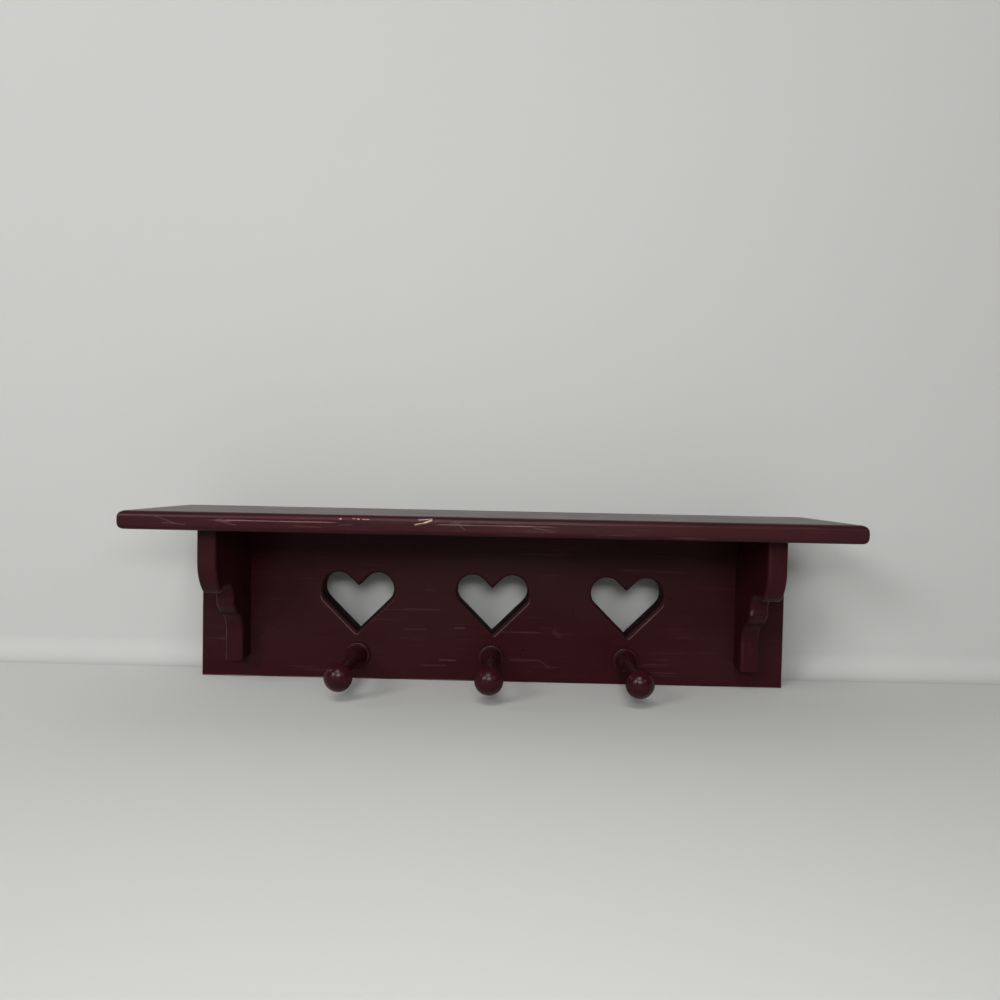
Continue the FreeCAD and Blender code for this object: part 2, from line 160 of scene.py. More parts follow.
class PegShelfFinish(bpy.types.PropertyGroup):
    """Colours and sheen of the paint and of what shows through it."""
    paint: colour("Paint", (0.0225, 0.0035, 0.0052), "Burgundy paint where it is thick")
    thin_paint: colour("Thin paint", (0.032, 0.0062, 0.0085), "Paint on the raised grain")
    brown: colour("Brown paint", (0.0275, 0.0078, 0.0082), "Paint where it has browned")
    red: colour("Red paint", (0.055, 0.0042, 0.0100), "Redder paint in long patches along the grain")
    # This colour goes on rubbed paint and also on the painted highlights along the shelf's front, the
    # brackets' outer arrises and the right bracket's cove
    rubbed_and_highlit: colour("Rubbed paint", (0.16, 0.085, 0.082), "Pinkish grey where the paint is rubbed at an edge")
    bare_wood: colour("Bare wood", (0.50, 0.36, 0.28), "Pale wood in the chips")
    steel: colour("Steel", (0.55, 0.53, 0.47), "Bright wire of the brads")
    roughness: share("Roughness", 0.30, "Roughness of the satin paint")
    wear: share("Wear", 0.5, "How far the edges are rubbed")


# Shader expressions
class Value:
    """A shader socket, or a plain number, that sums can be written with."""

    def __init__(self, graph, source):
        self.graph = graph
        self.source = source

    def maths(self, operation, *others, clamp=False):
        """Add one Math node and give its result."""
        settings = {"operation": operation, "use_clamp": clamp}
        keys = ("Value", "Value_001", "Value_002")
        return self.graph.add("ShaderNodeMath", settings, dict(zip(keys, (self, *others))))["Value"]

    def __add__(self, other):
        return self.maths("ADD", other)

    def __sub__(self, other):
        return self.maths("SUBTRACT", other)

    def __rsub__(self, other):
        return Value(self.graph, other).maths("SUBTRACT", self)

    def __mul__(self, other):
        return self.maths("MULTIPLY", other)

    def __truediv__(self, other):
        return self.maths("DIVIDE", other)

    __radd__ = __add__

    def limited(self):
        """The value held between 0 and 1."""
        return self.maths("ADD", 0.0, clamp=True)

    def between(self, low, high):
        """0 below low, 1 above high, and a smooth rise from one to the other."""
        settings = {"interpolation_type": "SMOOTHSTEP"}
        sockets = {"Value": self, "From Min": low, "From Max": high}
        return self.graph.add("ShaderNodeMapRange", settings, sockets)["Result"]


class Added:
    """A node that was added, whose outputs are read by name."""

    def __init__(self, graph, node):
        self.graph = graph
        self.node = node

    def __getitem__(self, name):
        return Value(self.graph, next(s for s in self.node.outputs if name in (s.identifier, s.name)))


class Graph:
    """A material's or the world's nodes while they are put together."""

    def __init__(self, owner):
        owner.use_nodes = True
        self.tree = owner.node_tree
        self.tree.nodes.clear()

    def add(self, kind, settings, sockets):
        """Add any node: its settings first, then the values or links of its sockets."""
        node = self.tree.nodes.new(kind)
        for name, setting in settings.items():
            setattr(node, name, setting)
        for name, value in sockets.items():
            socket = next(s for s in node.inputs if name in (s.identifier, s.name))
            source = value.source if isinstance(value, Value) else value
            if isinstance(source, bpy.types.NodeSocket):
                self.tree.links.new(source, socket)
            elif socket.type == "RGBA" and len(source) == 3:
                socket.default_value = (*source, 1.0)
            else:
                socket.default_value = source
        return Added(self, node)

    def mix(self, a, b, factor):
        """Colour a where the factor is 0 and colour b where it is 1."""
        settings = {"data_type": "RGBA", "clamp_factor": True}
        sockets = {"Factor_Float": factor, "A_Color": a, "B_Color": b}
        return self.add("ShaderNodeMix", settings, sockets)["Result_Color"]

    def vector(self, operation, *parts, output="Vector"):
        """Add one Vector Math node."""
        keys = ("Vector", "Vector_001", "Vector_002")
        return self.add("ShaderNodeVectorMath", {"operation": operation}, dict(zip(keys, parts)))[output]

    def attribute(self, name):
        """A number that the mesh carries at each point."""
        return self.add("ShaderNodeAttribute", {"attribute_name": name}, {})["Fac"]

    def place(self):
        """The point in the object's own frame, in metres."""
        return self.add("ShaderNodeTexCoord", {}, {})["Object"]

    def speckle(self, place, scale, stretch=(1.0, 1.0, 1.0), detail=3.0, roughness=0.5, warp=0.0):
        """Noise of a scale per metre, pulled out along an axis by a small stretch."""
        point = self.vector("MULTIPLY", place, tuple(scale * s for s in stretch))
        sockets = {"Vector": point, "Scale": 1.0, "Detail": detail, "Roughness": roughness,
                   "Distortion": warp}
        return self.add("ShaderNodeTexNoise", {"noise_dimensions": "3D"}, sockets)["Fac"]

    def parts(self, vector):
        """A vector's three numbers."""
        split = self.add("ShaderNodeSeparateXYZ", {}, {"Vector": vector})
        return split["X"], split["Y"], split["Z"]

    def streak(self, place, start, end, width):
        """1 on the line from start to end, falling to 0 at a width from it."""
        run = tuple(b - a for a, b in zip(start, end))
        size = sum(c * c for c in run)
        away = self.vector("SUBTRACT", place, start)
        along = self.vector("DOT_PRODUCT", away, run, output="Value") / size
        sockets = {"Vector": run, "Scale": along.limited()}
        step = self.add("ShaderNodeVectorMath", {"operation": "SCALE"}, sockets)
        gap = self.vector("SUBTRACT", away, step["Vector"])
        return 1 - self.vector("LENGTH", gap, output="Value") / width

    def bump(self, height, strength, distance):
        """A surface normal with relief from a height."""
        sockets = {"Height": height, "Strength": strength, "Distance": distance}
        return self.add("ShaderNodeBump", {}, sockets)["Normal"]

    def finish(self, shader, kind="ShaderNodeOutputMaterial"):
        """Join a shader to the output."""
        self.add(kind, {}, {"Surface": shader})


# Finishes

# Chips and scuffs of the shelf's front: start and end as (x, z), width in metres, how far the paint is gone
CHIPS = (
    ((-0.0587, 0.0420), (-0.0478, 0.0430), 0.0006, 0.75),
    ((-0.0615, 0.0383), (-0.0540, 0.0398), 0.0006, 0.75),
    ((-0.0540, 0.0398), (-0.0481, 0.0420), 0.0009, 1.0),
    ((-0.1225, 0.0417), (-0.1213, 0.0417), 0.0007, 0.9),
    ((-0.1120, 0.0421), (-0.1102, 0.0421), 0.0005, 0.7),
    ((-0.1080, 0.0418), (-0.1068, 0.0418), 0.0006, 0.6),
    ((-0.1040, 0.0417), (-0.0983, 0.0418), 0.0004, 0.5),
)
SCUFFS = (
    ((-0.2236, 0.0385), (-0.2065, 0.0349), 0.0006, 0.35),
    ((-0.2236, 0.0385), (-0.2179, 0.0398), 0.0006, 0.40),
    ((-0.2179, 0.0372), (-0.2090, 0.0384), 0.0006, 0.35),
    ((-0.2140, 0.0390), (-0.1990, 0.0392), 0.0006, 0.30),
    ((-0.2725, 0.0410), (-0.2561, 0.0355), 0.0006, 0.28),
    ((-0.2660, 0.0360), (-0.2480, 0.0345), 0.0006, 0.25),
    ((-0.0292, 0.0411), (-0.0210, 0.0348), 0.0007, 0.35),
    ((-0.0330, 0.0395), (-0.0240, 0.0405), 0.0006, 0.35),
    ((-0.0400, 0.0305), (-0.0345, 0.0298), 0.0013, 0.45),
    ((0.0350, 0.0375), (0.0520, 0.0345), 0.0006, 0.25),
    ((-0.1600, 0.0350), (-0.1380, 0.0345), 0.0005, 0.22),
    ((-0.1230, 0.0365), (-0.1130, 0.0372), 0.0005, 0.25),
)
# A light mark on the cove of the right bracket, partly a knock and partly a painted glint
KNOCK_AND_GLINT = (((0.2345, -0.0592, -0.0385), (0.2338, -0.0592, -0.0412), 0.0024, 0.4),)
# Light dashes along the grain of the back board's face: start, end, width and amount
DASHES = tuple(
    ((start, BOARD_FACE, low), (end, BOARD_FACE, high), width, amount)
    for start, low, end, high, width, amount in (
        (-0.0836, -0.0505, -0.0499, -0.0505, 0.0013, 0.10),
        (-0.0833, -0.0699, -0.0640, -0.0698, 0.0013, 0.10),
        (-0.0352, -0.0678, -0.0256, -0.0678, 0.0013, 0.17),
        (-0.0491, -0.0991, -0.0346, -0.0991, 0.0013, 0.17),
        (-0.0683, -0.1044, -0.0441, -0.1044, 0.0013, 0.09),
        (0.0082, -0.0707, 0.0466, -0.0706, 0.0013, 0.10),
        (0.0270, -0.0706, 0.0350, -0.0706, 0.0013, 0.17),
        (0.0183, -0.0976, 0.0472, -0.0975, 0.0015, 0.10),
        (0.0472, -0.0975, 0.0560, -0.1040, 0.0015, 0.10),
        (-0.0637, -0.0317, -0.0560, -0.0317, 0.0013, 0.09),
        (0.0600, -0.0690, 0.0650, -0.0740, 0.0030, 0.08),
    ))


def pulled(grain, stretch):
    """How much noise is scaled along each axis where it is pulled out along the grain."""
    return tuple(stretch if axis == grain else 1.0 for axis in "xyz")


def paint(name, finish, grain, chips=(), scuffs=(), rub=1.0, sheen=0.1, dull=0.0, reds=0.0, hairs=0.14):
    """Satin burgundy paint over open-grained wood, rubbed at the edges and chipped, with painted shade on
    sawn walls and rubbed lines that are partly painted highlights.
    """
    material = bpy.data.materials.new(name)
    graph = Graph(material)
    place = graph.place()
    fine = graph.speckle(place, 900.0, pulled(grain, 0.035), 4.0, 0.6)
    broad = graph.speckle(place, 120.0, pulled(grain, 0.05), 3.0, 0.55, 0.4)
    patchy = graph.speckle(place, 22.0, detail=4.0, roughness=0.6)
    grit = graph.speckle(place, 1600.0, detail=2.0)
    hair = graph.speckle(place, 620.0, pulled(grain, 0.018), 3.0, 0.6)
    cloud = graph.speckle(place, 9.0, pulled(grain, 0.4), 2.0)

    figure = (broad - 0.5) * 1.4 + (fine - 0.5) * 0.9
    raised = figure.between(0.05, 0.42)
    pores = fine.between(0.62, 0.74)
    tint = graph.mix(finish.paint, finish.thin_paint, raised * 0.75 + (patchy - 0.5) * 0.7)
    tint = graph.mix(tint, finish.brown, cloud.between(0.45, 0.62) * 0.55)
    if reds:
        patch = graph.speckle(place, 85.0, pulled(grain, 0.12), 3.0, 0.6)
        tint = graph.mix(tint, finish.red, patch.between(0.42, 0.66) * reds)
    tint = graph.mix(tint, tuple(c * 0.45 for c in finish.paint), pores * 0.5)

    edge = graph.attribute("edge")
    sawn_shade = graph.attribute("sawn_shade")
    # Painted shade: the sawn walls inside the hearts are darkened to a third of the paint, partly duller end
    # grain and partly shade in the recess
    tint = graph.mix(tint, tuple(c * 0.3 for c in finish.paint), sawn_shade * 0.85)
    ragged = edge + (patchy - 0.5) * 1.1 + (fine - 0.5) * 0.7 + (grit - 0.5) * 0.3
    rubbed_and_highlit = ragged.between(1.16 - 0.42 * finish.wear, 1.5 - 0.42 * finish.wear) * rub
    scratched = hair.between(0.60, 0.70) * patchy.between(0.42, 0.62) * hairs
    marks = rubbed_and_highlit.maths("MAXIMUM", scratched)
    for start, end, width, amount in scuffs:
        line = graph.streak(place, start, end, width) + (grit - 0.5) * 0.9 + (fine - 0.5) * 0.6
        marks = marks.maths("MAXIMUM", line.between(0.2, 0.7) * amount)
    # The rubbed colour covers real wear and the painted highlights carried by the edge marks and scuffs
    tint = graph.mix(tint, finish.rubbed_and_highlit, marks)
    bare = None
    for start, end, width, amount in chips:
        line = graph.streak(place, start, end, width) + (grit - 0.5) * 0.8
        chip = line.between(0.15, 0.35) * amount
        bare = chip if bare is None else bare.maths("MAXIMUM", chip)
    height = figure * 0.6 - pores * 0.8 + (grit - 0.5) * 0.15
    _, _, up = graph.parts(place)
    side = 1 - up.between(SHELF[1].z - SHEEN_BAND[0], SHELF[1].z - SHEEN_BAND[1])
    rough = finish.roughness + side * dull + (patchy - 0.5) * 0.16 + pores * 0.2 + marks * 0.15 + sawn_shade * 0.35
    if bare is not None:
        wood = graph.mix(finish.bare_wood, tuple(c * 0.7 for c in finish.bare_wood), fine.between(0.35, 0.65))
        tint = graph.mix(tint, wood, bare)
        height = height - bare * 3.0
        rough = rough + bare * 0.3
    surface = graph.add("ShaderNodeBsdfPrincipled", {}, {
        "Base Color": tint, "Roughness": rough.limited(), "Specular IOR Level": sheen,
        "Normal": graph.bump(height, 0.35, 0.0003)})
    graph.finish(surface["BSDF"])
    return material


def brad_wire(name, finish, painted):
    """Drawn steel wire; the shelf's brads are painted over where they meet its top."""
    material = bpy.data.materials.new(name)
    graph = Graph(material)
    place = graph.place()
    drawn = graph.speckle(place, 3000.0, detail=2.0)
    tint = graph.mix(finish.steel, tuple(c * 0.6 for c in finish.steel), drawn)
    metal = 1.0 - (drawn - 0.5) * 0.2
    if painted:
        _, _, height = graph.parts(place)
        cover = height.between(SHELF[1].z - MOUTH_DEPTH, SHELF[1].z - MOUTH_DEPTH * 2 / 3)
        tint = graph.mix(tint, finish.paint, cover)
        metal = (1 - cover) * metal
    surface = graph.add("ShaderNodeBsdfPrincipled", {}, {
        "Base Color": tint, "Metallic": metal, "Roughness": 0.32 + drawn * 0.15,
        "Normal": graph.bump(drawn, 0.2, 0.0001)})
    graph.finish(surface["BSDF"])
    return material


def plaster(name, tint):
    """Plain pale surface of the floor and the wall, clear from behind."""
    material = bpy.data.materials.new(name)
    graph = Graph(material)
    mottle = graph.speckle(graph.place(), 6.0, detail=3.0)
    shade = graph.mix(tuple(c * 0.985 for c in tint), tint, mottle)
    surface = graph.add("ShaderNodeBsdfPrincipled", {}, {
        "Base Color": shade, "Roughness": 0.9 - (mottle - 0.5) * 0.1, "Specular IOR Level": 0.1})
    clear = graph.add("ShaderNodeBsdfTransparent", {}, {})
    behind = graph.add("ShaderNodeNewGeometry", {}, {})["Backfacing"]
    sockets = {"Fac": behind, "Shader": surface["BSDF"], "Shader_001": clear["BSDF"]}
    both = graph.add("ShaderNodeMixShader", {}, sockets)
    graph.finish(both["Shader"])
    return material


# Mesh making
class Skin:
    """Points, faces, edge wear and sawn walls, which get painted shade, of a piece while it is made."""

    def __init__(self):
        self.points = []
        self.wear = []
        self.sawn_shade = []
        self.faces = []

    def row(self, points, wear=0.0, sawn_shade=0.0):
        """Add a row of points, with one wear for all or one for each, and give their numbers."""
        first = len(self.points)
        self.points += [Vector(point) for point in points]
        count = len(self.points) - first
        self.wear += wear if isinstance(wear, list) else [wear] * count
        self.sawn_shade += [sawn_shade] * count
        return list(range(first, first + count))

    def strip(self, row, other, closed=True):
        """Faces between two rows of the same length."""
        pairs = list(zip(row, row[1:] + row[:1], other[1:] + other[:1], other))
        self.faces += pairs if closed else pairs[:-1]

    def strips(self, rows, closed=True):
        """Faces between each row and the next."""
        for row, other in zip(rows, rows[1:]):
            self.strip(row, other, closed)

    def cap(self, loops, across):
        """Fill a flat region: the first loop is its border and the others are its holes."""
        numbers = [n for loop in loops for n in loop]
        flat = [Vector([c for axis, c in enumerate(self.points[n]) if axis != across]) for n in numbers]
        edges, first = [], 0
        for loop in loops:
            count = len(loop)
            edges += [(first + n, first + (n + 1) % count) for n in range(count)]
            first += count
        _, _, faces, sources, _, _ = delaunay_2d_cdt(flat, edges, [], 1, 1e-7)
        first, borders = 0, []
        for loop in loops:
            borders.append(flat[first:first + len(loop)])
            first += len(loop)
        for face in faces:
            corners = [sources[n][0] for n in face]
            middle = sum((flat[n] for n in corners), Vector((0.0, 0.0))) / len(corners)
            if sum(inside(middle, border) for border in borders) % 2:
                self.faces.append([numbers[n] for n in corners])

    def made(self, name, material, slot, *nodes):
        """Turn it into a piece that stands for CAD nodes."""
        mesh = bpy.data.meshes.new(name)
        mesh.from_pydata(self.points, [], self.faces)
        mesh.update()
        mesh.attributes.new("edge", "FLOAT", "POINT").data.foreach_set("value", self.wear)
        mesh.attributes.new("sawn_shade", "FLOAT", "POINT").data.foreach_set("value", self.sawn_shade)
        work = bmesh.new()
        work.from_mesh(mesh)
        bmesh.ops.remove_doubles(work, verts=work.verts, dist=1e-7)
        bmesh.ops.recalc_face_normals(work, faces=work.faces)
        work.to_mesh(mesh)
        work.free()
        mesh.shade_smooth()
        mesh.set_sharp_from_angle(angle=math.radians(38.0))
        mesh.materials.append(material)
        piece = bpy.data.objects.new(name, mesh)
        bpy.context.collection.objects.link(piece)
        normals = piece.modifiers.new("flat faces first", "WEIGHTED_NORMAL")
        normals.keep_sharp = True
        normals.weight = 80
        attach(piece, "root")
        if nodes:
            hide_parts(*nodes)
        return piece


def inside(point, border):
    """Whether a flat point lies inside a closed border."""
    odd = False
    for a, b in zip(border, border[1:] + border[:1]):
        if (a.y > point.y) != (b.y > point.y) and point.x < (b.x - a.x) * (point.y - a.y) / (b.y - a.y) + a.x:
            odd = not odd
    return odd


def turn(centre, radius, start, end, count):
    """Points on an arc, angles in degrees."""
    steps = [math.radians(start + (end - start) * n / count) for n in range(count + 1)]
    return [Vector((centre[0] + radius * math.cos(a), centre[1] + radius * math.sin(a))) for a in steps]


def arc(start, end, radius, way, count):
    """Points of the shorter arc from start to end; way is 1 when it turns left."""
    start, end = Vector(start), Vector(end)
    chord = end - start
    reach = math.sqrt(max(radius**2 - chord.length_squared / 4, 0.0))
    centre = (start + end) / 2 + Vector((-chord.y, chord.x)).normalized() * way * reach
    first = math.atan2(start.y - centre.y, start.x - centre.x)
    sweep = 2 * math.asin(min(chord.length / 2 / radius, 1.0)) * way
    steps = [first + sweep * n / count for n in range(count + 1)]
    return [centre + Vector((math.cos(a), math.sin(a))) * radius for a in steps]


def rounding(radius, steps=6, flat=0.0007):
    """Rings of an eased edge: inset from the outline, depth below the face, and wear."""
    rings = [(radius + flat, 0.0, 0.0)]
    for n in range(steps + 1):
        angle = math.pi / 2 * n / steps
        worn = math.sin(2 * angle) ** 0.6
        rings.append((radius * (1 - math.sin(angle)), radius * (1 - math.cos(angle)), worn))
    rings.append((0.0, radius + flat, 0.0))
    return rings


def mitres(points, free):
    """How far each corner moves per unit of inset; free tells which edges keep their place."""
    count = len(points)
    normals = []
    for n, point in enumerate(points):
        run = (points[(n + 1) % count] - point).normalized()
        normals.append(Vector((-run.y, run.x)))
    moves = []
    for n in range(count):
        before, after = normals[n - 1], normals[n]
        stay_before, stay_after = free(n - 1 if n else count - 1), free(n)
        if stay_before and stay_after:
            moves.append(Vector((0.0, 0.0)))
            continue
        wanted = (0.0 if stay_before else 1.0, 0.0 if stay_after else 1.0)
        cross = before.x * after.y - before.y * after.x
        if abs(cross) < 1e-4:
            moves.append(after * max(wanted))
        else:
            x = (wanted[0] * after.y - wanted[1] * before.y) / cross
            y = (wanted[1] * before.x - wanted[0] * after.x) / cross
            moves.append(Vector((x, y)))
    return moves


def slot_corners(middle, width, height):
    """Corners of the small mouth that a brad's head sits in."""
    x, y = middle
    return [Vector((x - width / 2, y - height / 2)), Vector((x + width / 2, y - height / 2)),
            Vector((x + width / 2, y + height / 2)), Vector((x - width / 2, y + height / 2))]


# Shelf board
HALF_CLEAR = BRACKETS["right"][0].x
BRACKET_MIDDLE = (BRACKETS["right"][0].x + BRACKETS["right"][1].x) / 2
TOP_BRADS = [(part * (HALF_CLEAR - BRAD_END_GAP), BRAD_LINE) for part in (-1.0, -0.5, 0.0, 0.5, 1.0)]
TOP_BRADS += [(side * BRACKET_MIDDLE, BOARD_FACE - reach) for side in (-1, 1) for reach in BRAD_REACHES]
BACK_BRADS = [(side * BRACKET_MIDDLE, BOARD[1].z - drop) for side in (-1, 1) for drop in BRAD_DROPS]


def set_back(radius, drop):
    """How far a rounded arris lies back where it has dropped this far from its face."""
    left = max(radius - drop, 0.0)
    return radius - math.sqrt(radius**2 - left**2)


def on_front(marks, radius):
    """Marks given by (x, z), laid on the front of the shelf."""
    def laid(x, z):
        return x, SHELF[0].y + set_back(radius, SHELF[1].z - z), z

    return [(laid(*start), laid(*end), width, amount) for start, end, width, amount in marks]


def shelf_path(inset, ahead, corner):
    """The shelf's edge seen from above, from its back left corner round to its back right."""
    half, depth = SHELF[1].x, -SHELF[0].y
    radius = max(corner - max(inset, ahead), 1e-4)
    left, right = -half + inset + radius, half - inset - radius
    front = -depth + ahead + radius
    side = [(-depth + CORNER_ROOM) * n / 40 for n in range(41)]
    marks, x = [], -half + CORNER_ROOM
    while x < half - CORNER_ROOM:
        marks.append(x)
        x += CHIPPED_STEP if any(low < x < high for low, high in CHIPPED) else PLAIN_STEP
    path = [Vector((-half + inset, y)) for y in side]
    path += turn((left, front), radius, 180, 270, 10)
    path += [Vector((x, -depth + ahead)) for x in marks]
    path += turn((right, front), radius, 270, 360, 10)
    path += [Vector((half - inset, y)) for y in reversed(side)]
    return path


def rub_and_highlight(x):
    """How far the front of the shelf is rubbed along its length, its light line partly wear and partly a
    painted highlight.
    """
    stops = ((-0.31, 0.7), (-0.24, 1.0), (-0.215, 1.75), (-0.135, 1.75), (-0.12, 1.1), (-0.05, 1.1),
             (-0.041, 1.6), (0.007, 1.5), (0.07, 1.05), (0.12, 0.5), (0.31, 0.4))
    for (start, low), (end, high) in zip(stops, stops[1:]):
        if x <= end:
            return low + (high - low) * max(x - start, 0.0) / (end - start)
    return stops[-1][1]


def gouge(point, chips):
    """How deep the chips cut at a point of the shelf."""
    depth = 0.0
    for start, end, width, amount in chips:
        start, end = Vector(start), Vector(end)
        run = end - start
        along = min(max((point - start).dot(run) / run.length_squared, 0.0), 1.0)
        gap = (point - start - run * along).length
        gap += noise.noise(point * 900.0) * 0.0004
        depth = max(depth, amount * CHIP_DEPTH * min(max(1.3 - gap / width, 0.0), 1.0))
    return depth


def inward(x, upper):
    """The way into the wood from the shelf's edge, at a place along its length."""
    across = -0.4 if x > END_ZONE else 0.4 if x < -END_ZONE else 0.0
    return Vector((across, 1.0, -1.0 if upper else 1.0))


def shelf_rings(sizes, top, bottom):
    """Rings down the shelf's edge: inset at its ends, inset along its front, height and wear."""
    radius, low = sizes.end_top_round, sizes.end_low_round
    ahead, ahead_low = sizes.front_top_round, sizes.front_low_round
    rings = [(radius + RIM, ahead + RIM, top, 0.0)]
    for n in range(19):
        angle = math.pi / 2 * n / 18
        drop = radius * (1 - math.cos(angle))
        worn = max(0.0, 1 - abs(angle - math.radians(RUB_HIGHLIGHT_ANGLE)) / math.radians(RUB_HIGHLIGHT_REACH))
        rings.append((radius * (1 - math.sin(angle)), set_back(ahead, drop), top - drop, worn))
    rings += [(0.0, 0.0, top - radius - 0.0006, 0.1), (0.0, 0.0, bottom + low + 0.0004, 0.1)]
    for n in range(13):
        angle = math.pi / 2 * n / 12
        rise = low * (1 - math.sin(angle))
        worn = 0.35 * math.sin(2 * angle)
        rings.append((low * (1 - math.cos(angle)), set_back(ahead_low, rise), bottom + rise, worn))
    return rings + [(low + RIM, ahead_low + RIM, bottom, 0.0)]


class PEGSHELF_OT_shelf(bpy.types.Operator):
    """Make the shelf board with its rounded front and ends, its chips and its brad holes"""
    bl_idname = "pegshelf.shelf"
    bl_label = "Shelf board"

    def execute(self, context):
        sizes, finish = context.scene.peg_shelf_sizes, context.scene.peg_shelf_finish
        top, bottom = SHELF[1].z, SHELF[0].z
        chips = on_front(CHIPS, sizes.front_top_round)
        scuffs = on_front(SCUFFS, sizes.front_top_round)
        skin = Skin()
        rows = []
        for inset, ahead, height, worn in shelf_rings(sizes, top, bottom):
            upper = height > (top + bottom) / 2
            points = []
            for flat in shelf_path(inset, ahead, sizes.shelf_corner):
                point = Vector((flat.x, flat.y, height))
                dent = max(noise.noise(point * DENT_SCALE), 0.0) * DENT_DEPTH if 0.05 < worn else 0.0
                if flat.y < -0.01 and bottom < height < top:
                    point += inward(flat.x, upper).normalized() * (gouge(point, chips) + dent)
                elif flat.y < -0.01:
                    point.z += math.copysign(gouge(point, chips), -1.0 if upper else 1.0)
                points.append(point)
            # The rubbed line along the front is partly wear and partly a painted highlight
            wear = [worn * rub_and_highlight(p.x) if upper else worn for p in points]
            rows.append(skin.row(points, wear))
        skin.strips(rows, closed=False)
        holes = []
        for middle in TOP_BRADS:
            mouth = [(c.x, c.y) for c in slot_corners(middle, *HEAD_MOUTH)]
            upper = skin.row([(x, y, top) for x, y in mouth])
            lower = skin.row([(x, y, top - MOUTH_DEPTH) for x, y in mouth])
            skin.strip(upper, lower)
            skin.cap([lower], 2)
            holes.append(upper)
        skin.cap([rows[0], *holes], 2)
        skin.cap([rows[-1]], 2)
        skin.cap([[row[0] for row in rows] + [row[-1] for row in reversed(rows)]], 1)
        looks = {"sheen": 0.125, "dull": 0.05, "reds": 0.25, "hairs": 0.26}
        material = paint("shelf paint", finish, "x", chips, scuffs, **looks)
        skin.made("shelf_board_painted", material, "painted_shelf", "shelf_board")
        return {"FINISHED"}


# Back board
def heart_loop(middle):
    """A heart's outline, and how its points move into the wood per unit of inset."""
    reach = LOBE_RADIUS / math.sqrt(2)
    height = BOARD[1].z - LOBE_DROP
    points = [Vector((middle, height - LOBE_OFFSET + 2 * reach))]
    moves = [Vector((0.0, math.sqrt(2)))]
    for side, start, end in ((-1, 45, 225), (1, -45, 135)):
        centre = (middle + side * LOBE_OFFSET, height)
        around = turn(centre, LOBE_RADIUS, start, end, 40)
        points += around
        moves += [(point - Vector(centre)) / LOBE_RADIUS for point in around]
        if side < 0:
            # The cutter rounds the point of the heart in front
            fan = turn((0.0, 0.0), 1.0, 225, 315, 10)
            tip = Vector((middle, height - LOBE_OFFSET - 2 * reach))
            points += [tip + way * 1e-5 for way in fan]
            moves += fan
    return points, moves


def eased(move, left, right):
    """How far a heart's edge is eased where it moves this way: little above, more below."""
    low = min(max(-move.y / 0.6, 0.0), 1.0)
    across = min(max(move.x / 1.4 + 0.5, 0.0), 1.0)
    return 0.35 + (left + (right - left) * across - 0.35) * low


def keyhole_loops(middle):
    """Outlines of a keyhole's mouth and of the wider run behind it."""
    lean = math.degrees(math.asin(SLOT_HALF / HOLE_RADIUS))
    mouth = turn((middle, 0.0), SLOT_HALF, 0, 180, 16)
    mouth += turn((middle, -TRAVEL), HOLE_RADIUS, 90 + lean, 450 - lean, 32)
    run = turn((middle, 0.0), RUN_HALF, 0, 180, 20) + turn((middle, -TRAVEL), RUN_HALF, 180, 360, 20)
    return mouth, run


